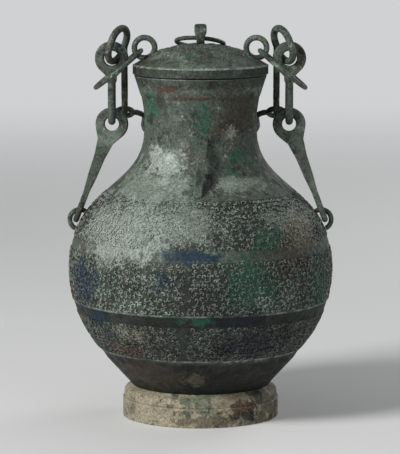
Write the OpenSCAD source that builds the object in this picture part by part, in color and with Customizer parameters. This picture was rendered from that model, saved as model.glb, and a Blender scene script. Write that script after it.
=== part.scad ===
/* [Vessel] */
// Radius of the belly at its widest
belly_r = 128.5; // [112:0.5:145]
// Height of the widest part of the belly
belly_z = 144.5; // [130:0.5:160]
// How far the belly stays full above its widest part
belly_rise = 80.6; // [60:0.2:90]
// How far the belly stays full below its widest part
belly_drop = 57.6; // [45:0.2:70]
// Slope of the lower belly where it leaves the foot, in degrees
belly_slope = 50.7; // [42:0.1:60]
// Radius of the neck at its narrowest
neck_r = 54.4; // [50:0.2:58]
// Height at which the shoulder has become the neck
neck_z = 279; // [270:1:285]
// Length of the hollow curve from shoulder into neck
neck_ease = 59.4; // [45:0.2:66]
// Outer radius of the mouth rim
mouth_r = 64; // [61:0.5:66]
// Height of the mouth rim above the ground
mouth_z = 332; // [326:1:345]
// Height of the raised collar below the mouth rim
collar_h = 20; // [12:0.5:26]
// Radius of the straight bore in the collar
bore_r = 57.5; // [52:0.5:58.5]
// Wall thickness of the vessel
wall = 3.5; // [2.5:0.1:4.5]
// Height of the middle of the floor's underside
floor_z = 25; // [22:0.5:27]

/* [Foot ring] */
// Radius of the upright band of the foot
foot_r = 75.7; // [72:0.1:82]
// Height of the upright band
foot_band_h = 18; // [12:0.5:21]
// Height at which the foot meets the vessel
waist_z = 31; // [28:0.5:34]
// Radius at which the foot meets the vessel
waist_r = 67; // [63:0.5:70]
// Width of the flat soldered seam between foot and vessel
seam_w = 6; // [4:0.5:8]
// Wall thickness of the foot band
foot_wall = 4.5; // [3.5:0.1:6]

/* [Lid] */
// Outer radius of the lid
lid_r = 65.5; // [64:0.5:68]
// Height of the upright edge of the lid
lid_edge_h = 9; // [6:0.5:11]
// Rise of the domed top above the edge
dome_h = 18.5; // [14:0.5:22]
// Thickness of the dome
dome_t = 3.5; // [2.5:0.1:4.5]
// Depth of the flange that hangs inside the mouth
flange_h = 11; // [8:0.5:13]
// Thickness of the flange
flange_t = 3; // [2:0.1:4]
// Play between flange and bore
flange_play = 0.5; // [0.3:0.1:1]

/* [Knob and its ring] */
// Outer radius of the knob loop
knob_r = 10.6; // [10:0.1:12.5]
// Thickness of the knob band
knob_t = 4.5; // [3.5:0.1:4.8]
// Width of the knob band at its foot
knob_w = 8; // [6:0.5:9]
// Width of the knob band at its top
knob_top_w = 12; // [9:0.5:13]
// Middle radius of the loose knob ring
knob_ring_r = 23; // [21:0.5:26]
// Radius of the knob ring's bar
knob_ring_bar = 2.2; // [1.8:0.1:2.4]
// Sideways lean of the knob ring, in degrees
knob_ring_lean = 4; // [0:0.5:5]

/* [Lid loops and lid rings] */
// Distance of each lid loop from the axis of the vessel
lid_loop_x = 53.8; // [50:0.2:55]
// Height of a lid loop's centre above the lid's upright edge
lid_loop_up = 16.2; // [15:0.2:18]
// Middle radius of a lid loop
lid_loop_r = 9.8; // [9.4:0.1:10.4]
// Radius of a lid loop's bar
lid_loop_bar = 2.9; // [2.5:0.1:3]
// Middle radius of a loose lid ring
lid_ring_r = 28.2; // [27.6:0.1:29]
// Radius of a lid ring's bar
lid_ring_bar = 2.3; // [2:0.1:2.4]
// Slope at which a lid ring hangs, in degrees
lid_ring_slope = 39; // [37:0.5:40]

/* [Shoulder loops] */
// How far each shoulder loop's centre stands out from the vessel's skin
shoulder_loop_out = 0; // [-1.5:0.5:3]
// Height of each shoulder loop's centre
shoulder_loop_z = 191; // [188:0.5:194]
// Middle radius of a shoulder loop
shoulder_loop_r = 9.7; // [9:0.1:10.5]
// Radius of a shoulder loop's bar
shoulder_loop_bar = 2.45; // [2:0.05:2.8]

/* [Strap loops] */
// Height of a strap loop's upper root on the neck
strap_top_z = 273; // [268:0.5:277]
// Height of a strap loop's lower root on the shoulder
strap_low_z = 224; // [219:0.5:228]
// Outward swell of a strap loop from the chord between its roots
strap_swell = 7; // [6:0.5:9]
// Width of a strap loop
strap_w = 8; // [6:0.5:10]
// Thickness of a strap loop
strap_t = 5; // [4:0.5:6]
// Sideways lean of a strap loop, in degrees
strap_lean = 7; // [0:0.5:9]

/* [Chain links] */
// Distance of the upright chains from the axis
chain_x = 85.5; // [83:0.5:88]
// Height of the hole in a lower link's head
lower_head_z = 284; // [281:0.5:287]
// Height of the hole in an upper link's head
upper_head_z = 347.5; // [346:0.5:350]
// Radius of the hole in a lower link's head
lower_hole_r = 6.6; // [6.4:0.1:7]
// Width of the rim round the hole of a lower link's head
lower_rim = 9.4; // [8.4:0.2:9.8]
// Radius of the hole in an upper link's head
upper_hole_r = 7; // [6.8:0.1:7.4]
// Width of the rim round the hole of an upper link's head
upper_rim = 9.3; // [8.5:0.1:9.7]
// Thickness of the flat heads and shanks
head_t = 6.4; // [5.4:0.2:7]
// Radius of the bar of a lower link's loop
lower_bar = 3; // [2.6:0.1:3.2]
// Radius of the bar of an upper link's loop
upper_bar = 3.7; // [3.3:0.1:3.8]
// Radius of the bar of a top link's loop
top_bar = 3.5; // [3.1:0.1:3.6]
// Half the width of a top link's loop between the middles of its sides
top_loop_r = 13; // [12:0.1:14]
// Height of a top link's loop between the middles of its ends
top_loop_h = 33.5; // [32:0.5:37]
// Inward lean of a top link's loop, in degrees
top_loop_lean = 20; // [18:0.5:24]
// Turn of a top link's loop out of the fore-and-aft plane, in degrees
top_loop_turn = 30; // [25:0.5:36]

/* [Bow handle] */
// Distance of the bow handle's pivot line behind the chains
bow_back = 20; // [19:0.5:22]
// Height of the bow handle's pivot line
bow_z = 297; // [295:0.5:300]
// Radius of the bar of the bow handle
bow_bar = 4.2; // [3.6:0.1:4.6]
// Half the width of the bow between the middles of its limbs
bow_half_w = 54.5; // [53:0.5:58]
// Length of the bow from its pivot line to the middle of its grip
bow_reach = 73; // [70:0.5:78]
// Radius of the bow's lower corners
bow_corner_r = 40; // [30:1:46]
// Middle radius of the eyes at the bow's ends
bow_eye_r = 7.5; // [7.2:0.1:8]
// Radius of the bar of those eyes
bow_eye_bar = 2.8; // [2.5:0.1:2.9]

/* [Fits] */
// Gap at rest between a loose piece and what carries it
seat = 0.3; // [0.2:0.05:0.4]

/* [Hidden] */
$fn = 64;

patina = [0.36, 0.44, 0.38];
patina_dark = [0.25, 0.32, 0.28];
patina_pale = [0.62, 0.60, 0.50];
eps = 0.01;

// A cubic curve from a to d, drawn towards b and c, as n steps
function curve(a, b, c, d, n) =
    [for (i = [0 : n]) let (t = i / n, u = 1 - t)
        a * u * u * u + b * 3 * t * u * u + c * 3 * t * t * u + d * t * t * t];
// The points of p moved sideways by w, to the left of the way they run
function shifted(p, w) =
    [for (i = [0 : len(p) - 1])
        let (a = p[max(i - 1, 0)], b = p[min(i + 1, len(p) - 1)], d = b - a)
        p[i] + w * [-d[1], d[0]] / norm(d)];
// The points of p from index a to index b
function part_of(p, a, b) = [for (i = [a : b]) p[i]];
// The points of p from last to first
function backwards(p) = [for (i = [len(p) - 1 : -1 : 0]) p[i]];

// Outer profile of the vessel, as radius and height, from the waist to the collar
waist = [waist_r, waist_z];
waist_pull = 34;
lower_curve = curve(waist, waist + waist_pull * [cos(belly_slope), sin(belly_slope)],
    [belly_r, belly_z - belly_drop], [belly_r, belly_z], 12);
upper_curve = curve([belly_r, belly_z], [belly_r, belly_z + belly_rise],
    [neck_r, neck_z - neck_ease], [neck_r, neck_z], 16);
collar_z = mouth_z - collar_h;
collar_r = neck_r + (mouth_r - neck_r) * 0.3;
neck_top_z = neck_z + (collar_z - neck_z) * 0.3;
neck_curve = curve([neck_r, neck_top_z], [neck_r, neck_top_z + (collar_z - neck_top_z) * 0.4],
    [collar_r - 1, collar_z - 6], [collar_r, collar_z], 5);
shell = concat(lower_curve, part_of(upper_curve, 1, 16), neck_curve);
collar_step = 0.9;
lip = 1;
outer_profile = concat(shell, [[collar_r + collar_step, collar_z + collar_step],
    [mouth_r, mouth_z - lip], [mouth_r - lip, mouth_z]]);
// Height of the profile's points, each with its radius
radius_at = [for (p = outer_profile) [p[1], p[0]]];
inner_all = shifted(shell, wall);
inner_shell = part_of(inner_all, 1, len(inner_all) - 3);
shoulder_loop_x = lookup(shoulder_loop_z, radius_at) + shoulder_loop_out;

// Lid
lid_z = mouth_z + seat;
lid_top_z = lid_z + lid_edge_h;
dome_edge_r = lid_r - 1.2;
dome_edge_z = lid_top_z + 0.6;
dome_curve_r = (pow(dome_edge_r, 2) + pow(dome_h, 2)) / (2 * dome_h);
flange_r = bore_r - flange_play;
function dome_z(r) = dome_edge_z + dome_h - dome_curve_r + sqrt(pow(dome_curve_r, 2) - r * r);
dome_steps = 10;
dome_points = [for (i = [0 : dome_steps]) let (r = dome_edge_r * (1 - i / dome_steps)) [r, dome_z(r)]];
under_edge_r = flange_r - flange_t;
under_points = [for (i = [0 : dome_steps]) let (r = under_edge_r * i / dome_steps) [r, dome_z(r) - dome_t]];

// Knob and the place where its ring passes through it
knob_mid_r = knob_r - knob_t / 2;
knob_sink = 1;
knob_z = dome_z(0) + knob_r - knob_sink;
knob_ring_gap = seat + 0.75 * knob_w * sin(knob_ring_lean);
knob_pivot_z = knob_z - (knob_r - knob_t) + knob_ring_bar + knob_ring_gap;
// Front outline of the knob's right half, about the middle of its hole: a foot, a flare and a round corner
knob_foot = [knob_w / 2, -0.3 * knob_r];
knob_side = [knob_top_w / 2, 0.4 * knob_r];
knob_corner = 3.2;
knob_bend = [knob_top_w / 2, knob_r - knob_corner];
knob_crown = [knob_top_w / 2 - knob_corner, knob_r];
knob_outline = concat([[knob_w / 2, -knob_r]],
    curve(knob_foot, [knob_foot[0], 0], [knob_side[0], 0], knob_side, 6),
    curve(knob_bend, [knob_bend[0], knob_crown[1] - 1], [knob_bend[0] - 1, knob_crown[1]], knob_crown, 5));
// Backward slope at which the knob ring comes to lie on the dome
dome_reach = dome_curve_r + knob_ring_bar + seat;
ring_lift = knob_pivot_z - dome_z(0) + dome_curve_r;
ring_side = ring_lift * sin(knob_ring_lean);
ring_far = (pow(ring_lift, 2) + 2 * pow(knob_ring_r, 2) - pow(dome_reach, 2)) / (2 * knob_ring_r);
ring_down = (ring_far + knob_ring_r) / 2 - pow(ring_side, 2) / (2 * (ring_far - knob_ring_r));
knob_ring_slope = asin(ring_down / (ring_lift * cos(knob_ring_lean)));

// Lid loops and the places where the lid rings pass through them
lid_loop_z = lid_top_z + lid_loop_up;
lid_hole_r = lid_loop_r - lid_loop_bar;
lid_ring_in = lid_hole_r - lid_ring_bar - seat;
lid_ring_pivot = [lid_loop_x + lid_ring_in * cos(lid_ring_slope),
    lid_loop_z - lid_ring_in * sin(lid_ring_slope)];

// Strap loops: an arc of this radius about this centre, in distance from the axis and height
strap_top = [lookup(strap_top_z, radius_at), strap_top_z];
strap_low = [lookup(strap_low_z, radius_at), strap_low_z];
strap_chord = strap_low - strap_top;
strap_half = norm(strap_chord) / 2;
strap_r = (pow(strap_half, 2) + pow(strap_swell, 2)) / (2 * strap_swell);
strap_out = [-strap_chord[1], strap_chord[0]] / norm(strap_chord);
strap_mid = (strap_top + strap_low) / 2;
strap_centre = strap_mid - (strap_r - strap_swell) * strap_out;
strap_root = 12;
strap_turn = asin(strap_half / strap_r) + strap_root;
strap_aim = atan2(strap_out[1], strap_out[0]);

// Chain: the lower link leans in from the top of the shoulder loop
hook_z = shoulder_loop_z + shoulder_loop_r;
lower_lean = atan2(shoulder_loop_x - chain_x, lower_head_z - hook_z);
lower_len = norm([shoulder_loop_x - chain_x, lower_head_z - hook_z]);
lower_loop_r = lower_bar + shoulder_loop_bar + 1.2;
lower_slot = 3;
lower_loop_up = (lower_bar + shoulder_loop_bar + seat) / cos(lower_lean) - lower_loop_r;
lower_shoulder = lower_hole_r + lower_rim;
// Half-widths of the lower link's shank, each with its distance below the hole
lower_shank = [lower_shoulder * [cos(30), sin(30)], [8, 18], [5.6, 34], [4.6, 54], [lower_bar, 70]];
upper_rod_z = lower_head_z + lower_hole_r - upper_bar - seat;
upper_loop_r = head_t / 2 + upper_bar + 1.6;
upper_shoulder = upper_hole_r + upper_rim;
upper_neck = 17.5;
upper_loop_top = upper_head_z - upper_neck - 4;
// Half-widths of the upper link's shank, each with its distance below the hole
upper_shank = [upper_shoulder * [cos(35), sin(35)], [5, upper_neck], [5, upper_neck + 4],
    [upper_bar, upper_neck + 7]];

// Top link: its loop passes through the upper link's head and leans inwards
top_rod_z = upper_head_z - upper_hole_r + top_bar + 2 * seat;
top_up = [sin(top_loop_lean), 0, cos(top_loop_lean)];
top_front = [-sin(top_loop_turn) * cos(top_loop_lean), -cos(top_loop_turn),
    sin(top_loop_turn) * sin(top_loop_lean)];
top_centre = [0, 0, top_rod_z] + top_loop_h / 2 * top_up;
top_back = top_centre - top_loop_r * top_front;
top_limb_bar = top_bar - 0.2;
top_eye_r = bow_eye_r;
top_eye_bar = 3;
top_eye_up = top_eye_r - top_eye_bar - bow_eye_bar - seat;
bow_x = chain_x - top_back[0];

// Bow handle: it drops back until its grip meets the rear strap loop
strap_twist = strap_w / 4 * sin(strap_lean);
bow_gap = strap_r + strap_t / 2 + bow_bar + strap_twist + seat;
bow_to_strap = strap_centre - [bow_back, bow_z];
bow_far = norm(bow_to_strap);
bow_turn = acos((pow(bow_reach, 2) + pow(bow_far, 2) - pow(bow_gap, 2)) / (2 * bow_reach * bow_far));
bow_drop = atan2(bow_to_strap[1], bow_to_strap[0]) + bow_turn;
bow_flare_r = bow_x - bow_eye_r - bow_half_w;

// A ring lying in the upright plane that faces the viewer, of a round bar
module ring_facing(r, bar) rotate([90, 0, 0]) rotate_extrude() translate([r, 0]) circle(bar);

// A ring lying in the fore-and-aft plane, of a round bar
module ring_sideways(r, bar) rotate([0, 0, 90]) ring_facing(r, bar);

// A flat ring that faces the viewer, with rounded edges
module flat_head(r, rim, t)
    rotate([90, 0, 0]) rotate_extrude() translate([r, 0]) intersection() {
        circle(rim / 2);
        square([rim + 1, t], center = true);
    }

// A round bar from a to b
module bar(a, b, r) {
    d = b - a;
    translate(a) rotate([0, acos(d[2] / norm(d)), atan2(d[1], d[0])]) cylinder(h = norm(d), r = r);
}

// A loop with two straight sides in the fore-and-aft plane, from height low to height top
module long_loop(r, bar, low, top) {
    for (side = [-1, 1]) translate([0, side * r, low]) cylinder(h = top - low, r = bar);
    translate([0, 0, low]) rotate([0, 90, 0]) rotate([0, 0, -90])
        rotate_extrude(angle = 180) translate([r, 0]) circle(bar);
    translate([0, 0, top]) rotate([0, 90, 0]) rotate([0, 0, 90])
        rotate_extrude(angle = 180) translate([r, 0]) circle(bar);
}

// The solid inside the vessel's outer surface, for trimming what is cast on to it
module vessel_outside() rotate_extrude($fn = 96)
    polygon(concat([[0, waist_z]], outer_profile, [[0, mouth_z]]));

// The solid inside the lid's outer surface
module lid_outside() rotate_extrude($fn = 96)
    polygon(concat([[0, lid_z], [dome_edge_r, lid_z]], dome_points));

module vessel_body() {
    floor_edge_r = waist_r - seam_w;
    floor_rise = 2.2;
    color(patina) rotate_extrude($fn = 96) polygon(concat(
        [[0, floor_z], [floor_edge_r - 12, floor_z + floor_rise], [floor_edge_r, waist_z]],
        outer_profile,
        [[bore_r, mouth_z], [bore_r, collar_z]],
        backwards(inner_shell),
        [[floor_edge_r, waist_z + wall], [floor_edge_r - 14, floor_z + floor_rise + wall],
            [0, floor_z + wall]]));
}

// The foot: an upright band, a narrow step, and a moulding that curves in to the waist
module foot_ring() {
    step = 1.2;
    step_r = foot_r - step;
    curve_z = waist_z - 2.5;
    color(patina_pale) rotate_extrude($fn = 96) polygon(concat(
        [[foot_r - foot_wall, 0], [foot_r, 0], [foot_r, foot_band_h], [step_r, foot_band_h + 0.8]],
        curve([step_r, foot_band_h + 5], [step_r, curve_z], [waist_r + 3, curve_z], waist, 6),
        [[waist_r - seam_w, waist_z], [foot_r - foot_wall - 1, foot_band_h]]));
}

module shoulder_loop() difference() {
    translate([shoulder_loop_x, 0, shoulder_loop_z]) ring_facing(shoulder_loop_r, shoulder_loop_bar);
    vessel_outside();
}
module shoulder_loop_left() color(patina) mirror([1, 0, 0]) shoulder_loop();
module shoulder_loop_right() color(patina) shoulder_loop();

module strap_loop() {
    lean_x = strap_mid[0];
    lean_z = strap_mid[1];
    difference() {
        translate([lean_x, 0, lean_z]) rotate([-strap_lean, 0, 0]) translate([-lean_x, 0, -lean_z])
            translate([strap_centre[0], 0, strap_centre[1]]) rotate([90, 0, 0])
                rotate([0, 0, strap_aim - strap_turn]) rotate_extrude(angle = 2 * strap_turn)
                    translate([strap_r, 0]) square([strap_t, strap_w], center = true);
        vessel_outside();
    }
}
module strap_loop_front() color(patina) rotate([0, 0, -90]) strap_loop();
module strap_loop_back() color(patina) rotate([0, 0, 90]) strap_loop();

module lid_cover() color(patina) rotate_extrude($fn = 96) polygon(concat(
    under_points,
    [[under_edge_r, lid_z - flange_h], [flange_r, lid_z - flange_h], [flange_r, lid_z],
        [lid_r - 0.8, lid_z], [lid_r, lid_z + 0.8], [lid_r, lid_top_z]],
    dome_points));

// The knob: an upright band round a hole, which widens upwards to a rounded top
module lid_knob() color(patina) difference() {
    translate([0, 0, knob_z]) intersection() {
        rotate([0, 0, 90]) rotate([90, 0, 0]) rotate_extrude() translate([knob_mid_r, 0])
            square([knob_t, knob_top_w], center = true);
        rotate([90, 0, 0]) linear_extrude(height = 2 * knob_r, center = true) polygon(concat(
            knob_outline, [for (p = backwards(knob_outline)) [-p[0], p[1]]]));
    }
    lid_outside();
}

module knob_ring() color(patina_dark)
    translate([0, 0, knob_pivot_z]) rotate([-knob_ring_slope, knob_ring_lean, 0])
        translate([0, knob_ring_r, 0]) rotate_extrude() translate([knob_ring_r, 0])
            circle(knob_ring_bar);

module lid_loop() difference() {
    translate([lid_loop_x, 0, lid_loop_z]) ring_facing(lid_loop_r, lid_loop_bar);
    lid_outside();
}
module lid_loop_left() color(patina) mirror([1, 0, 0]) lid_loop();
module lid_loop_right() color(patina) lid_loop();

module lid_ring() translate([lid_ring_pivot[0], 0, lid_ring_pivot[1]]) rotate([0, lid_ring_slope, 0])
    translate([lid_ring_r, 0, 0]) rotate_extrude() translate([lid_ring_r, 0]) circle(lid_ring_bar);
module lid_ring_left() color(patina_dark) mirror([1, 0, 0]) lid_ring();
module lid_ring_right() color(patina_dark) lid_ring();

// A flat link head with the shank below it, the hole's middle at the origin
module head_and_shank(hole_r, rim, shank) difference() {
    union() {
        flat_head(hole_r + rim / 2, rim, head_t);
        rotate([90, 0, 0]) linear_extrude(height = head_t, center = true) polygon(concat(
            [for (p = shank) [-p[0], -p[1]]],
            [for (p = backwards(shank)) [p[0], -p[1]]]));
    }
    rotate([90, 0, 0]) cylinder(h = head_t + 2, r = hole_r, center = true);
}

// A lower link, upright, with the hole of its head at the origin
module lower_link_upright() {
    low = -lower_len - lower_loop_r + lower_loop_up;
    head_and_shank(lower_hole_r, lower_rim, concat(lower_shank,
        [[lower_bar, -low - 2 * lower_loop_r]]));
    long_loop(lower_loop_r, lower_bar, low + lower_loop_r - lower_slot, low + lower_loop_r);
}
module lower_link() translate([chain_x, 0, lower_head_z]) rotate([0, -lower_lean, 0])
    lower_link_upright();
module lower_link_left() color(patina) mirror([1, 0, 0]) lower_link();
module lower_link_right() color(patina) lower_link();

module upper_link() translate([chain_x, 0, 0]) {
    translate([0, 0, upper_head_z]) head_and_shank(upper_hole_r, upper_rim, upper_shank);
    long_loop(upper_loop_r, upper_bar, upper_rod_z + upper_loop_r, upper_loop_top - upper_loop_r);
}
module upper_link_left() color(patina) mirror([1, 0, 0]) upper_link();
module upper_link_right() color(patina) upper_link();

// The left top link, with its place given from the left chain
module top_link() translate([-chain_x, 0, 0]) {
    eye = [top_back[0], bow_back, bow_z + top_eye_up];
    straight = top_loop_h / 2 - top_loop_r;
    translate(top_centre) rotate([0, top_loop_lean, 0]) rotate([0, 0, -top_loop_turn])
        long_loop(top_loop_r, top_bar, -straight, straight);
    bar(top_back, eye + [0, 0, top_eye_r], top_limb_bar);
    translate(eye) ring_sideways(top_eye_r, top_eye_bar);
}
module top_link_left() color(patina) top_link();
module top_link_right() color(patina) mirror([1, 0, 0]) top_link();

// One half of the bow, with x outwards and y from the pivot line towards the grip
module bow_half() {
    corner_x = bow_half_w - bow_corner_r;
    corner_y = bow_reach - bow_corner_r;
    flare_y = bow_eye_r + bow_flare_r;
    translate([bow_x, bow_eye_r, 0]) rotate_extrude() translate([bow_eye_r, 0]) circle(bow_eye_bar);
    translate([bow_half_w + bow_flare_r, flare_y, 0]) rotate([0, 0, 180])
        rotate_extrude(angle = 90) translate([bow_flare_r, 0]) circle(bow_eye_bar);
    translate([bow_half_w, flare_y, 0]) rotate([-90, 0, 0])
        cylinder(h = corner_y - flare_y, r1 = bow_eye_bar, r2 = bow_bar);
    translate([corner_x, corner_y, 0]) rotate_extrude(angle = 90)
        translate([bow_corner_r, 0]) circle(bow_bar);
    translate([-eps, bow_reach, 0]) rotate([0, 90, 0]) cylinder(h = corner_x + eps, r = bow_bar);
}
module bow_handle() color(patina_dark) translate([0, bow_back, bow_z]) rotate([bow_drop, 0, 0]) {
    bow_half();
    mirror([1, 0, 0]) bow_half();
}

vessel_body();
foot_ring();
shoulder_loop_left();
shoulder_loop_right();
strap_loop_front();
strap_loop_back();
lid_cover();
lid_knob();
knob_ring();
lid_loop_left();
lid_loop_right();
lid_ring_left();
lid_ring_right();
lower_link_left();
lower_link_right();
upper_link_left();
upper_link_right();
top_link_left();
top_link_right();
bow_handle();
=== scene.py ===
import math
import random

import bmesh
import bpy
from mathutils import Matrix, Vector


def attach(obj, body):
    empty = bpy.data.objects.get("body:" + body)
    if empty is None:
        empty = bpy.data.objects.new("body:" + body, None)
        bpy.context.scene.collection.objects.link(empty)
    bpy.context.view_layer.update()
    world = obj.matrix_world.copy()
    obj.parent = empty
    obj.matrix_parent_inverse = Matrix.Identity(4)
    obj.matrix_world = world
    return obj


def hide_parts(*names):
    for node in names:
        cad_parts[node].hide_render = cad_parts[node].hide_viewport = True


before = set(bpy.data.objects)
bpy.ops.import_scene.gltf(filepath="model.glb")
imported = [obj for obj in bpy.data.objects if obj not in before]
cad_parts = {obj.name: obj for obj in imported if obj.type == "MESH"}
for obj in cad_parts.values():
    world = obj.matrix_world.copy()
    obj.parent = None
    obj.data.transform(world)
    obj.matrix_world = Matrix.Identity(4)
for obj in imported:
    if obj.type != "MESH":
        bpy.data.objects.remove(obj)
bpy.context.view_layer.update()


# The studio: a pale paper sweep under and behind the vessel, a large soft lamp high
# on the left, weaker ones on the right and behind, and a camera a few metres away.
scene = bpy.context.scene
scene.view_settings.view_transform = "Standard"

lens = bpy.data.cameras.new("camera")
lens.sensor_fit = "VERTICAL"
lens.sensor_height = 36
lens.lens = 221.15
camera = bpy.data.objects.new("camera", lens)
camera.location = (-0.0005, -2.682, 0.540)
camera.rotation_euler = (math.radians(82.43), 0, 0)
scene.collection.objects.link(camera)
scene.camera = camera


BODY_MIDDLE = Vector((0, 0, 0.19))


def lamp(name, place, size, watts):
    """A square soft box that faces the middle of the vessel."""
    light = bpy.data.lights.new(name, "AREA")
    light.size = size
    light.energy = watts
    box = bpy.data.objects.new(name, light)
    box.location = place
    box.rotation_euler = (Vector(place) - BODY_MIDDLE).to_track_quat("Z", "Y").to_euler()
    scene.collection.objects.link(box)


lamp("key_lamp", (-1.7, -1.5, 1.7), 0.8, 66)
lamp("fill_lamp", (2.0, -1.9, 1.2), 1.4, 8)
lamp("back_lamp", (1.4, 1.5, 1.3), 1.0, 14)

room = bpy.data.worlds.new("room")
room.use_nodes = True
room.node_tree.nodes["Background"].inputs["Color"].default_value = (0.9, 0.95, 1.0, 1)
room.node_tree.nodes["Background"].inputs["Strength"].default_value = 0.2
scene.world = room


def linear(red, green, blue):
    """A colour as it is seen on a screen, 0 to 255, made ready for a shader."""
    shares = [c / 255 for c in (red, green, blue)]
    return (*(c / 12.92 if c < 0.0404 else ((c + 0.055) / 1.055) ** 2.4 for c in shares), 1)


def put(tree, kind, settings=None, **plugs):
    """Adds a node to a tree and gives its outputs.

    A plug is an input's name, or its number after an i, and takes a value or an output.
    """
    node = tree.nodes.new(kind)
    for name, value in (settings or {}).items():
        setattr(node, name, value)
    for name, value in plugs.items():
        key = int(name[1:]) if name[0] == "i" and name[1:].isdigit() else name.replace("_", " ")
        if isinstance(value, bpy.types.NodeSocket):
            tree.links.new(value, node.inputs[key])
        else:
            node.inputs[key].default_value = value
    return node.outputs


def sums(tree, work, first, second=0.0):
    """One sum of a shader or geometry tree."""
    return put(tree, "ShaderNodeMath", {"operation": work}, i0=first, i1=second)[0]


def soft_step(tree, value, low, high, amount=1.0):
    """0 below low, amount above high, and a soft step from one to the other."""
    return put(
        tree, "ShaderNodeMapRange", {"interpolation_type": "SMOOTHSTEP"},
        i0=value, i1=low, i2=high, i3=0.0, i4=amount,
    )[0]


def from_points(name, points, edges=(), faces=()):
    """An object whose mesh has those points, edges and faces."""
    mesh = bpy.data.meshes.new(name)
    mesh.from_pydata(points, edges, faces)
    made = bpy.data.objects.new(name, mesh)
    scene.collection.objects.link(made)
    return made


# The far part of the paper also glows, for the camera alone, so that it stays pale.
paper = bpy.data.materials.new("pale_paper")
paper.use_nodes = True
paper_tree = paper.node_tree
paper_shader = paper_tree.nodes["Principled BSDF"]
paper_shader.inputs["Base Color"].default_value = linear(226, 226, 224)
paper_shader.inputs["Roughness"].default_value = 0.9
paper_place = put(paper_tree, "ShaderNodeTexCoord")["Object"]
far_off = soft_step(paper_tree, put(paper_tree, "ShaderNodeSeparateXYZ", Vector=paper_place)["Y"], 0.7, 3.6)
seen = put(paper_tree, "ShaderNodeLightPath")["Is Camera Ray"]
glow = put(paper_tree, "ShaderNodeEmission", Color=linear(208, 209, 210), Strength=1.0)[0]
paper_look = put(
    paper_tree, "ShaderNodeMixShader",
    i0=sums(paper_tree, "MULTIPLY", far_off, seen), i1=paper_shader.outputs[0], i2=glow,
)[0]
paper_tree.links.new(paper_look, paper_tree.nodes["Material Output"].inputs["Surface"])

FLOOR_END, BEND_R, BEND_STEPS, SIDE = 3.4, 1.2, 12, 7.0
sweep_line = [(-6.0, 0.0), (FLOOR_END, 0.0)]
for step in range(1, BEND_STEPS + 1):
    turn = math.radians(90 * step / BEND_STEPS)
    sweep_line.append((FLOOR_END + BEND_R * math.sin(turn), BEND_R - BEND_R * math.cos(turn)))
sweep_line.append((FLOOR_END + BEND_R, 5.0))
sweep = from_points(
    "sweep",
    [(side, y, z) for y, z in sweep_line for side in (-SIDE, SIDE)],
    faces=[(2 * i, 2 * i + 1, 2 * i + 3, 2 * i + 2) for i in range(len(sweep_line) - 1)],
)
sweep.data.shade_smooth()
sweep.data.materials.append(paper)


# The body: one thin-walled bronze casting, poured in section moulds, whose ground is
# lowered a little round the scrollwork. Two thousand years in the ground have given it
# a grey-green skin with malachite, azurite and red oxide in places.
bronze = {
    "grey_green": linear(80, 89, 79),
    "pale": linear(136, 147, 135),
    "chalk": linear(184, 193, 182),
    "dark": linear(30, 35, 30),
    "black": linear(7, 8, 9),
    "brown": linear(62, 54, 44),
    "malachite": linear(36, 80, 62),
    "bright_green": linear(38, 98, 74),
    "azurite": linear(13, 38, 58),
    "deep_blue": linear(7, 15, 27),
    "oxide": linear(78, 46, 34),
    "tan": linear(122, 114, 92),
    "cream": linear(158, 149, 127),
}


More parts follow.
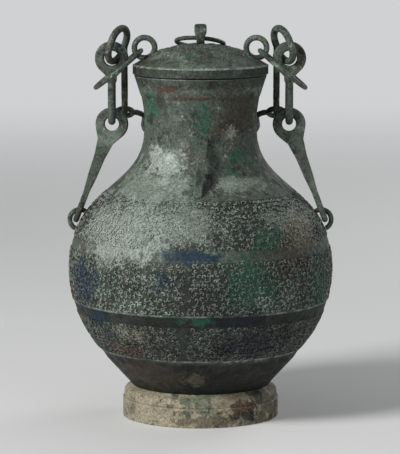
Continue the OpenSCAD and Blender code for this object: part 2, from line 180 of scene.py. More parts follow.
class Skin:
    """A patina skin in the making, with its painted light and shade: where it is on the piece, and the colour
    it has so far.
    """

    # A patch's noise is taken this many times, less the way from its centre. The patch
    # fades in from the second number to the third, each less its cover.
    PATCH_NOISE, PATCH_OUT, PATCH_IN = 4.5, 2.05, 2.5
    # Pointiness is 0.5 on a flat, more on an edge and less in a hollow.
    HOLLOW, EDGE = (0.505, 0.56), (0.52, 0.60)

    def __init__(self, name, base):
        self.material = bpy.data.materials.new(name)
        self.material.use_nodes = True
        self.tree = self.material.node_tree
        self.place = put(self.tree, "ShaderNodeTexCoord")["Object"]
        self.colour = put(self.tree, "ShaderNodeRGB")["Color"]
        self.colour.default_value = bronze[base]

    def cloud(self, size, detail=5, rough=0.6, shift=0.0, twist=0.0):
        """Noise with features of that size in metres, from 0 to 1."""
        return put(
            self.tree, "ShaderNodeTexNoise",
            Vector=self.vector("ADD", self.place, (shift, shift * 0.7, -shift))["Vector"],
            Scale=1 / size, Detail=detail, Roughness=rough, Distortion=twist,
        )[0]

    def between(self, value, low, high, amount=1.0):
        return soft_step(self.tree, value, low, high, amount)

    def maths(self, work, first, second=0.0):
        return sums(self.tree, work, first, second)

    def vector(self, work, first, second=(0, 0, 0)):
        """One step of vector maths, as the node's outputs."""
        return put(self.tree, "ShaderNodeVectorMath", {"operation": work}, i0=first, i1=second)

    def lay(self, tone, mask):
        """Lays a tone over the skin where the mask says: a patina colour, or a painted shade or highlight."""
        self.colour = put(
            self.tree, "ShaderNodeMix", {"data_type": "RGBA"}, i0=mask, i6=self.colour, i7=bronze[tone]
        )[2]

    def spot(self, centre, reach, ragged, cover, amount):
        """A mask round a place.

        Reach is its half-size each way, cover how full it is, and ragged breaks it up.
        """
        offset = self.vector("SUBTRACT", self.place, centre)["Vector"]
        away = self.vector("LENGTH", self.vector("DIVIDE", offset, reach)["Vector"])["Value"]
        near = self.maths("SUBTRACT", self.maths("MULTIPLY", ragged, self.PATCH_NOISE), away)
        return self.between(near, self.PATCH_OUT - cover, self.PATCH_IN - cover, amount)

    def belt(self, low, high, soft, amount):
        """A mask round the piece between two heights."""
        up = put(self.tree, "ShaderNodeSeparateXYZ", Vector=self.place)["Z"]
        above = self.between(up, low - soft, low + soft)
        below = self.between(self.maths("SUBTRACT", high, up), -soft, soft)
        return self.maths("MULTIPLY", self.maths("MULTIPLY", above, below), amount)

    def finish(self, grain, pits, rough_low=0.45, rough_high=0.8, metal=0.1, rub=0.55):
        """Adds painted shade in hollows, pale worn edges, fine grain, roughness and bump, and gives the
        finished material.
        """
        edge = put(self.tree, "ShaderNodeNewGeometry")["Pointiness"]
        # Painted shade: hollows, where pointiness is low, are darkened.
        self.lay("dark", self.between(self.maths("SUBTRACT", 1.0, edge), *self.HOLLOW, 0.7))
        self.lay("chalk", self.between(edge, *self.EDGE, rub))
        speck = self.cloud(0.0022, 4, 0.75, 3.1)
        specks = self.maths("MULTIPLY", self.between(speck, 0.35, 0.65), grain)
        self.colour = put(
            self.tree, "ShaderNodeMix", {"data_type": "RGBA", "blend_type": "MULTIPLY"},
            i0=1.0, i6=self.colour, i7=self.maths("ADD", specks, 1 - grain / 2),
        )[2]
        middle = self.cloud(0.009, 6, 0.65, 5.7)
        pitted = put(self.tree, "ShaderNodeTexVoronoi", Vector=self.place, Scale=420.0)["Distance"]
        height = self.maths("ADD", self.maths("MULTIPLY", speck, 0.5), middle)
        height = self.maths("ADD", height, self.maths("MULTIPLY", pitted, 0.25))
        bump = put(self.tree, "ShaderNodeBump", Strength=pits, Distance=0.0006, Height=height)["Normal"]
        shader = self.tree.nodes["Principled BSDF"]
        self.tree.links.new(self.colour, shader.inputs["Base Color"])
        self.tree.links.new(
            put(self.tree, "ShaderNodeMapRange", i0=middle, i1=0.35, i2=0.65, i3=rough_low, i4=rough_high)[0],
            shader.inputs["Roughness"],
        )
        self.tree.links.new(bump, shader.inputs["Normal"])
        shader.inputs["Metallic"].default_value = metal
        shader.inputs["Specular IOR Level"].default_value = 0.35
        return self.material


def common_patina(skin, pale=0.7, green=0.6, dark=0.8):
    """The skin that nearly every piece has: brown and pale clouds, malachite, dirt and chalk."""
    skin.lay("brown", skin.between(skin.cloud(0.035, 8, 0.62, 0.4, 0.5), 0.49, 0.60, 0.75))
    skin.lay("pale", skin.between(skin.cloud(0.05, 10, 0.70, 1.3, 0.4), 0.50, 0.63, pale))
    skin.lay("malachite", skin.between(skin.cloud(0.026, 10, 0.74, 9.2, 0.6), 0.53, 0.62, green))
    skin.lay("dark", skin.between(skin.cloud(0.017, 9, 0.74, 2.9, 0.3), 0.52, 0.61, dark))
    skin.lay("chalk", skin.between(skin.cloud(0.0065, 6, 0.8, 4.4), 0.585, 0.67, 0.6))
    skin.lay("dark", skin.between(skin.cloud(0.003, 4, 0.78, 8.1), 0.555, 0.64, 0.7))


def body_patches(skin):
    """Lays the body's own patches, a few of them partly painted highlight: tone, place, reach each way, cover
    and strength.
    """
    coarse = skin.cloud(0.016, 9, 0.74, 6.6, 0.5)
    fine = skin.cloud(0.0045, 6, 0.75, 1.7)
    ragged = skin.maths(
        "ADD", skin.maths("MULTIPLY", coarse, 0.62), skin.maths("MULTIPLY", fine, 0.38)
    )
    for tone, centre, reach, cover, amount in (
        ("brown", (0.079, -0.096, 0.174), (0.053, 0.08, 0.049), 0.60, 0.6),
        ("dark", (0.006, -0.128, 0.138), (0.055, 0.06, 0.026), 0.80, 0.6),
        ("chalk", (-0.034, -0.050, 0.250), (0.030, 0.05, 0.026), 0.65, 0.5),
        # These chalk and pale patches on the upper left, over the top band and the shoulder, are partly pale
        # patina and partly painted highlight.
        ("chalk", (-0.080, -0.095, 0.192), (0.070, 0.08, 0.040), 0.75, 0.45),
        ("pale", (-0.030, -0.110, 0.200), (0.060, 0.06, 0.028), 0.80, 0.6),
        ("pale", (-0.058, -0.075, 0.232), (0.060, 0.07, 0.024), 0.80, 0.6),
        ("pale", (0.085, -0.080, 0.200), (0.050, 0.06, 0.020), 0.50, 0.5),
        ("azurite", (-0.111, -0.064, 0.134), (0.024, 0.05, 0.038), 0.60, 0.85),
        ("azurite", (-0.097, -0.074, 0.106), (0.018, 0.04, 0.014), 0.55, 0.8),
        ("azurite", (-0.010, -0.125, 0.172), (0.030, 0.04, 0.008), 0.85, 0.9),
        ("azurite", (-0.035, -0.123, 0.148), (0.013, 0.04, 0.026), 0.45, 0.8),
        ("azurite", (-0.056, -0.110, 0.192), (0.022, 0.04, 0.016), 0.30, 0.5),
        ("malachite", (0.046, -0.120, 0.145), (0.038, 0.05, 0.034), 0.65, 0.75),
        ("malachite", (0.063, -0.102, 0.185), (0.034, 0.05, 0.020), 0.55, 0.7),
        ("malachite", (0.114, -0.059, 0.139), (0.018, 0.05, 0.036), 0.65, 0.7),
        ("tan", (0.094, -0.072, 0.188), (0.026, 0.05, 0.026), 0.60, 0.6),
        ("deep_blue", (0.054, -0.097, 0.085), (0.065, 0.07, 0.020), 0.80, 0.85),
        ("deep_blue", (0.034, -0.118, 0.110), (0.040, 0.05, 0.008), 0.90, 0.9),
        ("bright_green", (-0.003, -0.122, 0.110), (0.024, 0.04, 0.008), 0.55, 0.5),
        ("cream", (-0.066, -0.096, 0.094), (0.034, 0.05, 0.014), 0.35, 0.45),
        ("oxide", (-0.069, -0.081, 0.077), (0.028, 0.05, 0.011), 0.65, 0.7),
        ("oxide", (-0.126, -0.015, 0.122), (0.012, 0.04, 0.020), 0.60, 0.7),
        ("brown", (-0.048, -0.070, 0.051), (0.040, 0.05, 0.015), 0.90, 0.7),
        ("tan", (-0.003, -0.082, 0.048), (0.022, 0.04, 0.018), 0.35, 0.35),
        ("bright_green", (-0.048, -0.028, 0.304), (0.014, 0.05, 0.020), 0.50, 0.7),
        ("oxide", (-0.004, -0.058, 0.3135), (0.070, 0.05, 0.004), 0.35, 0.8),
        ("malachite", (0.002, -0.054, 0.293), (0.016, 0.04, 0.020), 0.55, 0.8),
        ("brown", (0.034, -0.043, 0.297), (0.025, 0.05, 0.028), 0.85, 0.7),
        ("chalk", (0.031, -0.045, 0.280), (0.014, 0.04, 0.012), 0.35, 0.4),
        ("pale", (0.037, -0.067, 0.233), (0.030, 0.05, 0.010), 0.70, 0.6),
        ("malachite", (0.033, -0.048, 0.258), (0.015, 0.04, 0.011), 0.55, 0.7),
        ("oxide", (-0.033, -0.051, 0.321), (0.016, 0.04, 0.007), 0.60, 0.7),
    ):
        skin.lay(tone, skin.spot(centre, reach, ragged, cover, amount))


BANDS = {"upper": (0.1765, 0.2195), "middle": (0.116, 0.166), "lower": (0.069, 0.104)}
LEDGES = [BANDS[band][0] for band in ("middle", "lower")]
PLAIN_GROUND = (0.104, 0.1142)
WAIST = (0.0, 0.0665)
MOUTH_RIM = (0.322, 0.34)

body_skin = Skin("body_patina", "grey_green")
common_patina(body_skin)
# Painted shade: the sunk ground of each band, between the curls, is darkened.
for low, high in BANDS.values():
    body_skin.lay("dark", body_skin.belt(low, high, 0.0003, 0.7))
# Painted shade: the plain strip under the middle band's ledge is made nearly black.
body_skin.lay("black", body_skin.belt(*PLAIN_GROUND, 0.0006, 0.85))
# Painted shade: the downward-facing belly under the lower band is made nearly black.
body_skin.lay("black", body_skin.belt(*WAIST, 0.004, 0.9))
# Painted highlight: a pale line along the fillet under each ledge, broken up by noise.
highlight_breaks = body_skin.between(body_skin.cloud(0.016, 6, 0.7, 7.7), 0.42, 0.56)
for ledge in LEDGES:
    ledge_belt = body_skin.belt(ledge - 0.0018, ledge + 0.0002, 0.0003, 0.75)
    body_skin.lay("pale", body_skin.maths("MULTIPLY", ledge_belt, highlight_breaks))
# Painted shade: a darker band round the mouth rim, under the lid's edge.
body_skin.lay("dark", body_skin.belt(*MOUTH_RIM, 0.003, 0.5))
body_patches(body_skin)
body_bronze = body_skin.finish(0.85, 0.9)


CUT_TURN = 0.7


def half_section(node):
    """The line that a turned casting shows where it is cut through, as (radius, height)."""
    across = Vector((math.cos(CUT_TURN), math.sin(CUT_TURN), 0))
    cut = bmesh.new()
    cut.from_mesh(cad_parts[node].data)
    bmesh.ops.remove_doubles(cut, verts=cut.verts, dist=1e-6)
    for plane, inner, outer in ((across, True, False), (Vector((-across.y, across.x, 0)), True, True)):
        bmesh.ops.bisect_plane(
            cut, geom=cut.verts[:] + cut.edges[:] + cut.faces[:], dist=1e-7,
            plane_co=(0, 0, 0), plane_no=plane, clear_inner=inner, clear_outer=outer,
        )
    ends = [v for v in cut.verts if len(v.link_edges) == 1]
    point = min(ends or cut.verts, key=lambda v: v.co.z)
    line, seen = [point], {point}
    while True:
        ahead = [e.other_vert(point) for e in point.link_edges if e.other_vert(point) not in seen]
        if not ahead:
            break
        point = max(ahead, key=lambda v: v.co.dot(across)) if len(line) == 1 else ahead[0]
        line.append(point)
        seen.add(point)
    if not ends:
        line.append(line[0])
    points = [(v.co.dot(across), v.co.z) for v in line]
    cut.free()
    return points


CLOSEST = 0.0002
CORNER = 0.3


def evenly(points, step):
    """The same line with a point at least every step metres, facets softened and corners kept."""
    fine = [points[0]]
    for (r0, z0), (r1, z1) in zip(points, points[1:]):
        pieces = max(1, math.ceil(math.hypot(r1 - r0, z1 - z0) / step))
        fine += [
            (r0 + (r1 - r0) * i / pieces, z0 + (z1 - z0) * i / pieces) for i in range(1, pieces + 1)
        ]
    thinned = [fine[0]]
    for point in fine[1:-1]:
        if math.dist(point, thinned[-1]) > CLOSEST:
            thinned.append(point)
    thinned.append(fine[-1])
    softened = thinned[:]
    for i in range(1, len(thinned) - 1):
        last, here, following = thinned[i - 1:i + 2]
        before = Vector(here) - Vector(last)
        after = Vector(following) - Vector(here)
        if before.angle(after) < CORNER:
            softened[i] = tuple((last[k] + 2 * here[k] + following[k]) / 4 for k in (0, 1))
    return softened


def new_tree(name, **plugs):
    """An empty geometry tree with those inputs, each a kind of socket and its usual value."""
    tree = bpy.data.node_groups.new(name, "GeometryNodeTree")
    tree.interface.new_socket("Geometry", in_out="OUTPUT", socket_type="NodeSocketGeometry")
    tree.interface.new_socket("Geometry", in_out="INPUT", socket_type="NodeSocketGeometry")
    for label, (kind, value) in plugs.items():
        socket = tree.interface.new_socket(
            label.replace("_", " "), in_out="INPUT", socket_type="NodeSocket" + kind
        )
        if value is not None:
            socket.default_value = value
    return tree, tree.nodes.new("NodeGroupInput").outputs


def end_tree(tree, geometry, material):
    """Closes a tree: its instances are made real and get their material."""
    real = put(tree, "GeometryNodeRealizeInstances", Geometry=geometry)[0]
    smooth = put(tree, "GeometryNodeSetShadeSmooth", Geometry=real)[0]
    dressed = put(tree, "GeometryNodeSetMaterial", Geometry=smooth, Material=material)[0]
    out = tree.nodes.new("NodeGroupOutput")
    tree.links.new(dressed, out.inputs[0])


# Turned castings: a line of points is swept round the axis, as rows and columns of a grid.
turned, line_in = new_tree("turned_casting", Columns=("Int", 400), Material=("Material", None))
rows = put(
    turned, "GeometryNodeAttributeDomainSize", {"component": "MESH"}, Geometry=line_in["Geometry"]
)["Point Count"]
sheet = put(
    turned, "GeometryNodeMeshGrid",
    Vertices_X=sums(turned, "ADD", line_in["Columns"], 1.0), Vertices_Y=rows,
)["Mesh"]
number = put(turned, "GeometryNodeInputIndex")[0]
# Half a point is added so that rounding never puts a point in the wrong column.
column = sums(turned, "FLOOR", sums(turned, "DIVIDE", sums(turned, "ADD", number, 0.5), rows))
row = sums(turned, "SUBTRACT", number, sums(turned, "MULTIPLY", column, rows))
on_line = put(
    turned, "GeometryNodeSampleIndex", {"data_type": "FLOAT_VECTOR"},
    Geometry=line_in["Geometry"], Value=put(turned, "GeometryNodeInputPosition")[0], Index=row,
)["Value"]
parts = put(turned, "ShaderNodeSeparateXYZ", Vector=on_line)
angle = sums(turned, "MULTIPLY", sums(turned, "DIVIDE", column, line_in["Columns"]), math.tau)
on_ring = put(
    turned, "ShaderNodeCombineXYZ",
    X=sums(turned, "MULTIPLY", parts["X"], sums(turned, "COSINE", angle)),
    Y=sums(turned, "MULTIPLY", parts["X"], sums(turned, "SINE", angle)),
    Z=parts["Z"],
)[0]
wrapped = put(turned, "GeometryNodeSetPosition", Geometry=sheet, Position=on_ring)[0]
closed = put(turned, "GeometryNodeMergeByDistance", Geometry=wrapped, Distance=0.000005)[0]
end_tree(turned, closed, line_in["Material"])

# Age: every surface is pitted and sags a little, and the lid's crown has grown a crust.
aged, surface_in = new_tree(
    "aged_surface",
    Pit_Depth=("Float", 0.0003), Pit_Size=("Float", 0.005), Sag=("Float", 0.0003), Sag_Size=("Float", 0.03),
    Crust=("Float", 0.0), Crust_Reach=("Float", 0.04), Seed=("Float", 0.0), Material=("Material", None),
)
surface_place = put(aged, "GeometryNodeInputPosition")[0]
outward = put(aged, "GeometryNodeInputNormal")[0]


def lumps(size, detail, shift):
    """Noise over the surface, the same for the same seed."""
    return put(
        aged, "ShaderNodeTexNoise", {"noise_dimensions": "4D"},
        Vector=surface_place, W=sums(aged, "ADD", surface_in["Seed"], shift),
        Scale=sums(aged, "DIVIDE", 1.0, size), Detail=detail, Roughness=0.6,
    )[0]


pitted = soft_step(aged, lumps(surface_in["Pit Size"], 3.0, 0.0), 0.5, 0.75)
pits = sums(aged, "MULTIPLY", pitted, surface_in["Pit Depth"])
sag = sums(aged, "MULTIPLY", lumps(surface_in["Sag Size"], 1.0, 5.0), surface_in["Sag"])
flat = put(
    aged, "ShaderNodeVectorMath", {"operation": "MULTIPLY"}, i0=surface_place, i1=(1, 1, 0)
)["Vector"]
from_axis = put(aged, "ShaderNodeVectorMath", {"operation": "LENGTH"}, i0=flat)["Value"]
crust_edge = sums(
    aged, "ADD", sums(aged, "DIVIDE", from_axis, surface_in["Crust Reach"]),
    sums(aged, "MULTIPLY", lumps(0.02, 4.0, 9.0), 0.6),
)
crusted = sums(aged, "SUBTRACT", 1.0, soft_step(aged, crust_edge, 1.22, 1.28))
facing_up = soft_step(aged, put(aged, "ShaderNodeSeparateXYZ", Vector=outward)["Z"], 0.3, 0.7)
crust = sums(
    aged, "MULTIPLY", sums(aged, "MULTIPLY", crusted, facing_up),
    soft_step(aged, lumps(0.0055, 3.0, 2.0), 0.35, 0.65),
)
rise = sums(
    aged, "SUBTRACT", sums(aged, "MULTIPLY", crust, surface_in["Crust"]), sums(aged, "ADD", pits, sag)
)
moved = put(aged, "ShaderNodeVectorMath", {"operation": "SCALE"}, i0=outward, Scale=rise)["Vector"]
weathered = put(aged, "GeometryNodeSetPosition", Geometry=surface_in["Geometry"], Offset=moved)[0]
end_tree(aged, weathered, surface_in["Material"])


def run_through(piece, tree, **values):
    """Puts a tree on a piece with those inputs, found by their identifiers."""
    modifier = piece.modifiers.new(tree.name, "NODES")
    modifier.node_group = tree
    for item in tree.interface.items_tree:
        key = item.name.replace(" ", "_")
        if item.in_out == "INPUT" and key in values:
            modifier[item.identifier] = values[key]


def settle(rough, name, body, slot, *nodes):
    """Turns a piece with its modifiers into a plain mesh that rides on its body and stands for its nodes."""
    graph = bpy.context.evaluated_depsgraph_get()
    mesh = bpy.data.meshes.new_from_object(rough.evaluated_get(graph))
    mesh.name = name
    bpy.data.objects.remove(rough)
    piece = bpy.data.objects.new(name, mesh)
    scene.collection.objects.link(piece)
    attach(piece, body)
    if nodes:
        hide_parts(*nodes)
    return piece


def turn_casting(name, points, columns, material, body, slot, node, **ageing):
    """Turns a line of (radius, height) round the axis, ages it and settles it."""
    line = from_points(
        name + "_line", [(r, 0, z) for r, z in points], [(i, i + 1) for i in range(len(points) - 1)]
    )
    run_through(line, turned, Columns=columns, Material=material)
    run_through(line, aged, Material=material, **ageing)
    piece = settle(line, name, body, slot, node)
    shell = bmesh.new()
    shell.from_mesh(piece.data)
    if shell.calc_volume(signed=True) < 0:
        bmesh.ops.reverse_faces(shell, faces=shell.faces[:])
        shell.to_mesh(piece.data)
    shell.free()
    return piece


outline = half_section("vessel_body")
lip = max(range(len(outline)), key=lambda i: (outline[i][1], outline[i][0]))
NECK_R = 0.06
SUNK, SUNK_FROM, SUNK_TO = 0.0011, 0.058, 0.2215
FILLET, FILLET_HIGH = 0.0008, 0.0016


def eased(share):
    """A share held between 0 and 1, with a soft start and end."""
    share = max(0.0, min(1.0, share))
    return share * share * (3 - 2 * share)


def cast_surface(r, z):
    """The casting's radius where the smooth outline is at r.

    It is lower round the bands, with a fillet under two of them.
    """
    if r < NECK_R:
        return r
    sunk = SUNK * eased(min((SUNK_TO - z) / 0.004, (z - SUNK_FROM) / 0.006))
    on_fillet = any(0 <= ledge - z < FILLET_HIGH for ledge in LEDGES)
    return r - sunk + (FILLET if on_fillet else 0)


outside = [(cast_surface(r, z), z) for r, z in evenly(outline[:lip + 1], 0.0013)]
inside = evenly(outline[lip:], 0.009)
body_casting = turn_casting(
    "body_casting", outside + inside[1:], 400, body_bronze, "vessel", "patinated_bronze", "vessel_body",
    Pit_Depth=0.00025, Pit_Size=0.006, Sag=0.0003, Sag_Size=0.04, Seed=1.0,
)

# Round the feet of the shoulder loops the ground rises again to meet them.
LOOP_FEET = ((0.1123, 0.1994), (0.1217, 0.1826))
PAD_R, PAD_EDGE = 0.0075, 0.0025
loop_roots = [Vector((side * x, 0, z)) for side in (-1, 1) for x, z in LOOP_FEET]


def from_root(point):
    """How far a point is from the nearest foot of a shoulder loop."""
    return min((point - root).length for root in loop_roots)


for vertex in body_casting.data.vertices:
    pad = eased((PAD_R - from_root(vertex.co)) / PAD_EDGE)
    if pad:
        vertex.co.xy *= 1 + SUNK * pad / vertex.co.xy.length


# The scrollwork: three bands of small curls, cast with the body from stamped mould
# blocks. Wear has left them tall in some places and nearly flat in others, most of all
# on the shoulder. Plain seams, where two moulds met, cross them at front and back.
def ground_at(z):
    """The body's outer radius at a height."""
    for (r0, z0), (r1, z1) in zip(outside, outside[1:]):
        if r0 > NECK_R and min(z0, z1) <= z <= max(z0, z1) and z0 != z1:
            return r0 + (r1 - r0) * (z - z0) / (z1 - z0)
    raise ValueError(z)


CELL, STRAND, RELIEF = 0.0047, 0.0008, 0.001
TURNS, CURL_IN, CURL_OUT = 0.72, 0.10, 0.40
scrolls, cells_in = new_tree(
    "scroll_band",
    Cell=("Float", CELL), Strand=("Float", STRAND), Height=("Float", RELIEF),
    Wear=("Float", 0.5), Seed=("Int", 1), Material=("Material", None),
)


def curl(other_hand):
    """One curl of a round strand, half sunk, with its height kept as rise."""
    arm = put(
        scrolls, "GeometryNodeCurveSpiral",
        Resolution=12, Rotations=TURNS, Height=0.0, Reverse=other_hand,
        Start_Radius=sums(scrolls, "MULTIPLY", cells_in["Cell"], CURL_IN),
        End_Radius=sums(scrolls, "MULTIPLY", cells_in["Cell"], CURL_OUT),
    )[0]
    strand = put(
        scrolls, "GeometryNodeCurveArc", {"mode": "RADIUS"},
        Resolution=5, Radius=cells_in["Strand"], Start_Angle=math.pi, Sweep_Angle=math.pi,
    )[0]
    hook = put(scrolls, "GeometryNodeCurveToMesh", Curve=arm, Profile_Curve=strand, Fill_Caps=True)[0]
    height = put(scrolls, "ShaderNodeSeparateXYZ", Vector=put(scrolls, "GeometryNodeInputPosition")[0])["Z"]
    return put(
        scrolls, "GeometryNodeStoreNamedAttribute", {"data_type": "FLOAT", "domain": "POINT"},
        Geometry=hook, Name="rise", Value=sums(scrolls, "DIVIDE", height, cells_in["Strand"]),
    )[0]


def by_chance(low, high, seed):
    """A number drawn for each cell, the same for the same seed."""
    return put(scrolls, "FunctionNodeRandomValue", {"data_type": "FLOAT"}, i2=low, i3=high, Seed=seed)[1]


way_out = put(scrolls, "GeometryNodeInputNormal")[0]
sideways = put(
    scrolls, "ShaderNodeVectorMath", {"operation": "CROSS_PRODUCT"}, i0=(0, 0, 1), i1=way_out
)["Vector"]
facing_out = put(scrolls, "FunctionNodeAlignRotationToVector", {"axis": "Z"}, Vector=way_out)[0]
level = put(
    scrolls, "FunctionNodeAlignRotationToVector", {"axis": "X", "pivot_axis": "Z"},
    Rotation=facing_out, Vector=sideways,
)[0]
any_way = by_chance(0.0, math.tau, cells_in["Seed"])
spin = put(scrolls, "FunctionNodeAxisAngleToRotation", Axis=(0, 0, 1), Angle=any_way)[0]
lie = put(
    scrolls, "FunctionNodeRotateRotation", {"rotation_space": "LOCAL"}, Rotation=level, Rotate_By=spin
)[0]
worn = put(
    scrolls, "ShaderNodeTexNoise", {"noise_dimensions": "4D"},
    Vector=put(scrolls, "GeometryNodeInputPosition")[0], W=cells_in["Seed"], Scale=38.0, Detail=3.0,
)[0]
kept = put(
    scrolls, "ShaderNodeMapRange",
    i0=worn, i1=0.42, i2=0.62, i3=1.0, i4=sums(scrolls, "SUBTRACT", 1.0, cells_in["Wear"]),
)[0]
tall = sums(scrolls, "MULTIPLY", kept, sums(scrolls, "DIVIDE", cells_in["Height"], cells_in["Strand"]))
stretch = put(
    scrolls, "ShaderNodeCombineXYZ", X=by_chance(0.85, 1.2, 31), Y=by_chance(0.85, 1.2, 32), Z=tall
)[0]
toss = by_chance(0.0, 1.0, 77)
clear = put(scrolls, "GeometryNodeInputNamedAttribute", {"data_type": "BOOLEAN"}, Name="clear")[0]
all_curls = scrolls.nodes.new("GeometryNodeJoinGeometry")
for other_hand, test in ((False, "LESS_THAN"), (True, "GREATER_THAN")):
    chosen = put(
        scrolls, "FunctionNodeCompare", {"data_type": "FLOAT", "operation": test}, i0=toss, i1=0.5
    )[0]
    placed = put(
        scrolls, "GeometryNodeInstanceOnPoints",
        Points=cells_in["Geometry"], Instance=curl(other_hand), Rotation=lie, Scale=stretch,
        Selection=put(scrolls, "FunctionNodeBooleanMath", {"operation": "AND"}, i0=chosen, i1=clear)[0],
    )[0]
    scrolls.links.new(placed, all_curls.inputs[0])
end_tree(scrolls, all_curls.outputs[0], cells_in["Material"])

scroll_skin = Skin("scroll_patina", "grey_green")
common_patina(scroll_skin, pale=0.8, green=0.6, dark=0.5)
scroll_skin.lay("pale", scroll_skin.between(scroll_skin.cloud(0.005, 5, 0.7, 2.2), 0.46, 0.62, 0.6))
# Painted shade: the scrolls darken towards the belly, as the body under them does.
SHADED_BELLY = (0.0, 0.112)
scroll_skin.lay("black", scroll_skin.belt(*SHADED_BELLY, 0.004, 0.55))
body_patches(scroll_skin)
rise_of = put(scroll_skin.tree, "ShaderNodeAttribute", {"attribute_name": "rise"})["Fac"]
crests = scroll_skin.between(rise_of, 0.85, 1.0, 0.35)
chalky = scroll_skin.between(scroll_skin.cloud(0.02, 5), 0.45, 0.6)
scroll_skin.lay("chalk", scroll_skin.maths("MULTIPLY", crests, chalky))
# Painted shade: each strand is darkened low on its sides, in the grooves between the curls.
sunken = scroll_skin.maths("SUBTRACT", 1.0, rise_of)
scroll_skin.lay("dark", scroll_skin.between(sunken, 0.25, 0.85, 0.85))
scroll_bronze = scroll_skin.finish(0.7, 0.6, rub=0.12)

LEVELS = 60
EDGE_STRAY, STRAY, SIDE_STRAY = 0.12, 0.32, 0.3
ROOT_CLEAR = 0.0065
for band, wear, seed, seam, seam_wide in (
    ("upper", 0.7, 3, -0.0075, 0.0016),
    ("middle", 0.5, 5, -0.0125, 0.0018),
    ("lower", 0.5, 8, -0.0170, 0.0034),
):
    low, high = BANDS[band]
    levels = [low + (high - low) * i / LEVELS for i in range(1, LEVELS)]
    rises = [math.hypot(ground_at(a) - ground_at(b), a - b) for a, b in zip(levels, levels[1:])]
    count = round(sum(rises) * LEVELS / len(rises) / CELL)
    columns = round(math.tau * ground_at((low + high) / 2) / CELL)
    places, clear = [], []
    astray = random.Random(seed)
    for i in range(count):
        stray = EDGE_STRAY if i in (0, count - 1) else STRAY
        for k in range(columns):
            z = low + (high - low) * (i + 0.5 + astray.uniform(-stray, stray)) / count
            turn = math.tau * (k + 0.5 * (i % 2) + astray.uniform(-SIDE_STRAY, SIDE_STRAY)) / columns
            x, y = ground_at(z) * math.cos(turn), ground_at(z) * math.sin(turn)
            places.append((x, y, z))
            from_seam = abs(x - seam) if y < 0 else abs(x + seam)
            clear.append(from_seam > seam_wide and from_root(Vector((x, y, z))) > ROOT_CLEAR)
    guide = from_points(band + "_cells", places, faces=[
        (i * columns + k, i * columns + after, (i + 1) * columns + after, (i + 1) * columns + k)
        for i in range(count - 1)
        for k, after in zip(range(columns), [*range(1, columns), 0])
    ])
    guide.data.attributes.new("clear", "BOOLEAN", "POINT").data.foreach_set("value", clear)
    run_through(
        guide, scrolls,
        Cell=CELL, Strand=STRAND, Height=RELIEF, Wear=wear, Seed=seed, Material=scroll_bronze,
    )
    settle(guide, band + "_scrolls", "vessel", "patinated_bronze")


# The foot: a splayed bronze ring with an upright band, joined under the body. It has
# kept a paler, sandy skin, which stops sharply at the join.
foot_skin = Skin("foot_patina", "cream")
foot_ragged = foot_skin.cloud(0.012, 8, 0.7, 6.6, 0.4)
foot_skin.lay("tan", foot_skin.between(foot_skin.cloud(0.03, 8, 0.65, 1.1, 0.4), 0.46, 0.62, 0.8))
foot_skin.lay("grey_green", foot_skin.between(foot_skin.cloud(0.022, 9, 0.68, 7.3, 0.5), 0.52, 0.62, 0.7))
foot_skin.lay("dark", foot_skin.between(foot_skin.cloud(0.012, 9, 0.74, 3.9), 0.52, 0.63, 0.75))
for tone, centre, reach, cover, amount in (
    ("malachite", (-0.004, -0.074, 0.024), (0.020, 0.03, 0.012), 0.7, 0.5),
    ("oxide", (0.040, -0.062, 0.016), (0.016, 0.03, 0.010), 0.9, 0.8),
    ("dark", (0.044, -0.060, 0.010), (0.012, 0.03, 0.008), 0.8, 0.8),
    ("oxide", (-0.028, -0.070, 0.020), (0.010, 0.03, 0.006), 0.6, 0.6),
    ("dark", (0.066, -0.036, 0.014), (0.034, 0.05, 0.03), 0.7, 0.6),
    ("brown", (0.010, -0.076, 0.006), (0.040, 0.03, 0.008), 0.6, 0.6),
):
    foot_skin.lay(tone, foot_skin.spot(centre, reach, foot_ragged, cover, amount))
foot_bronze = foot_skin.finish(0.7, 0.8, rough_low=0.55, rough_high=0.85, metal=0.05)

turn_casting(
    "foot_casting", evenly(half_section("foot_ring"), 0.0012), 420, foot_bronze,
    "vessel", "pale_bronze", "foot_ring",
    Pit_Depth=0.0003, Pit_Size=0.004, Sag=0.0003, Sag_Size=0.03, Seed=4.0,
)


# The lid: a low cast dome with an upright edge, over a flange that drops into the
# mouth. Its crown carries a rough crust. Its edge has painted shade, and its top line is
# partly rub and partly painted highlight.
lid_skin = Skin("lid_patina", "grey_green")
common_patina(lid_skin, pale=0.8, green=0.6, dark=0.7)
EDGE_FOOT, EDGE_TOP = 0.330, 0.3405
# Painted shade: the lid's upright edge is darkened.
lid_skin.lay("dark", lid_skin.belt(EDGE_FOOT, EDGE_TOP, 0.0004, 0.65))
# The pale line along the top of the edge is partly rubbed wear and partly painted highlight, broken up by
# noise.
rub_and_highlight = lid_skin.between(lid_skin.cloud(0.02, 6, 0.7, 3.3), 0.40, 0.60)
edge_line = lid_skin.belt(EDGE_TOP, EDGE_TOP + 0.0017, 0.0003, 0.45)
lid_skin.lay("chalk", lid_skin.maths("MULTIPLY", edge_line, rub_and_highlight))
lid_bronze = lid_skin.finish(0.8, 0.9)

turn_casting(
    "lid_casting", evenly(half_section("lid_cover"), 0.0010), 380, lid_bronze,
    "lid", "patinated_bronze", "lid_cover",
    Pit_Depth=0.0003, Pit_Size=0.005, Sag=0.0003, Sag_Size=0.03, Crust=0.0020, Crust_Reach=0.048, Seed=6.0,
)


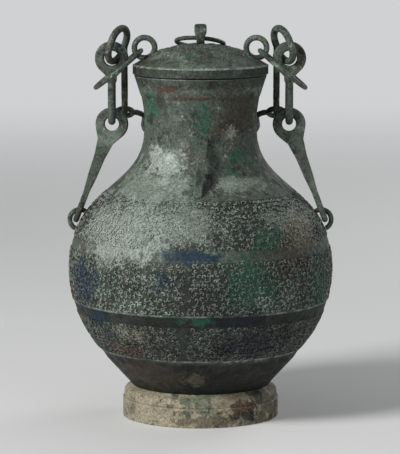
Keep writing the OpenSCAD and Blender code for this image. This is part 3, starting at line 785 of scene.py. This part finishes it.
# The small castings: bronze loops, straps and knob, cast on or riveted to the body
# and lid. Their edges are soft from wear and their skin is much like the body's.
def recast(node, body, slot, material, soft=3, grain=0.0005, pit_size=0.004):
    """Takes the shape of a CAD node, with its edges softened as in a casting, and ages it."""
    shape = bmesh.new()
    shape.from_mesh(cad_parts[node].data)
    bmesh.ops.remove_doubles(shape, verts=shape.verts, dist=1e-6)
    rough = from_points(node + "_rough", [])
    shape.to_mesh(rough.data)
    shape.free()
    remesh = rough.modifiers.new("grain", "REMESH")
    remesh.mode = "VOXEL"
    remesh.voxel_size = grain
    soften = rough.modifiers.new("soften", "SMOOTH")
    soften.factor = 0.5
    soften.iterations = soft
    run_through(rough, aged, Pit_Depth=0.0002, Pit_Size=pit_size, Sag=0.0001, Material=material)
    settle(rough, node + "_casting", body, slot, node)


small_skin = Skin("fitting_patina", "grey_green")
common_patina(small_skin, pale=0.6, green=0.7, dark=0.7)
small_bronze = small_skin.finish(0.7, 0.8)

for node, body, soft in (
    ("shoulder_loop_left", "vessel", 3), ("shoulder_loop_right", "vessel", 3),
    ("strap_loop_front", "vessel", 5), ("strap_loop_back", "vessel", 5),
    ("lid_knob", "lid", 14), ("lid_loop_left", "lid", 3), ("lid_loop_right", "lid", 3),
):
    recast(node, body, "patinated_bronze", small_bronze, soft, pit_size=0.003)


# The rings: three loose rings of round bronze bar, one in the knob and one through each
# lid loop, round the chain. They are darker than the lid and paler along their edges.
ring_skin = Skin("ring_patina", "grey_green")
common_patina(ring_skin, pale=0.7, green=0.4, dark=0.9)
ring_bronze = ring_skin.finish(0.6, 0.6, rough_low=0.4, rough_high=0.7, metal=0.15)

for node in ("knob_ring", "lid_ring_left", "lid_ring_right"):
    recast(node, node, "dark_bronze", ring_bronze)


# The chains: three cast bronze links on each side, one hooked on the shoulder, one that
# stands up from its eye, and a long loop that hangs down behind to the bow handle.
chain_skin = Skin("chain_patina", "grey_green")
common_patina(chain_skin, pale=0.5, green=0.5, dark=0.8)
chain_bronze = chain_skin.finish(0.7, 0.7)

for link in ("lower_link", "upper_link", "top_link"):
    for side in ("left", "right"):
        recast(link + "_" + side, link + "_" + side, "patinated_bronze", chain_bronze)


# The bow handle: one cast bronze bar, bent, with an eye at each end that takes a top
# link. It has dropped behind the neck and has the dark skin of the rings.
recast("bow_handle", "bow_handle", "dark_bronze", ring_bronze, grain=0.0006)
